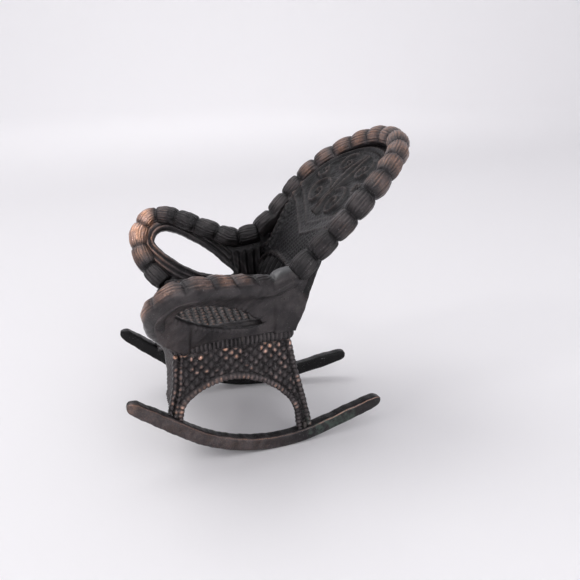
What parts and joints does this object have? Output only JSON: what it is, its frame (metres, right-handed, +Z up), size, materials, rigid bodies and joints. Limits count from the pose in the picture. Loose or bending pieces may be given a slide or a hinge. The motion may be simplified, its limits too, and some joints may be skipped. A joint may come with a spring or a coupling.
{
  "type": "miniature rocking chair",
  "caption": "Dolls house rocking chair in antiqued cast metal that imitates wicker, with looped arms, a reclined scalloped back, an arched skirted stand and curved rockers.",
  "frame": {"origin": "on the floor, under the middle of the chair's overall width and depth", "axes": "+Z up, the chair faces -Y, +X is the sitter's left, X = 0 is the plane of symmetry"},
  "size_m": [0.0802, 0.0812, 0.0822],
  "materials": {
    "antiqued_copper": "antiqued copper plate over die-cast zinc, near-black brown with bright copper rubbed through on high spots",
    "pin_metal": "peened bare metal"
  },
  "bodies": {
    "root": {"rocker_left": "antiqued_copper", "rocker_right": "antiqued_copper", "stand_side_left": "antiqued_copper", "stand_side_right": "antiqued_copper", "stand_front": "antiqued_copper", "stand_rear": "antiqued_copper", "seat": "antiqued_copper", "back": "antiqued_copper", "arm_left": "antiqued_copper", "arm_right": "antiqued_copper", "rocker_pins": "pin_metal", "stand_pins": "pin_metal", "arm_pins": "pin_metal", "back_pins": "pin_metal"}
  },
  "joints": []
}
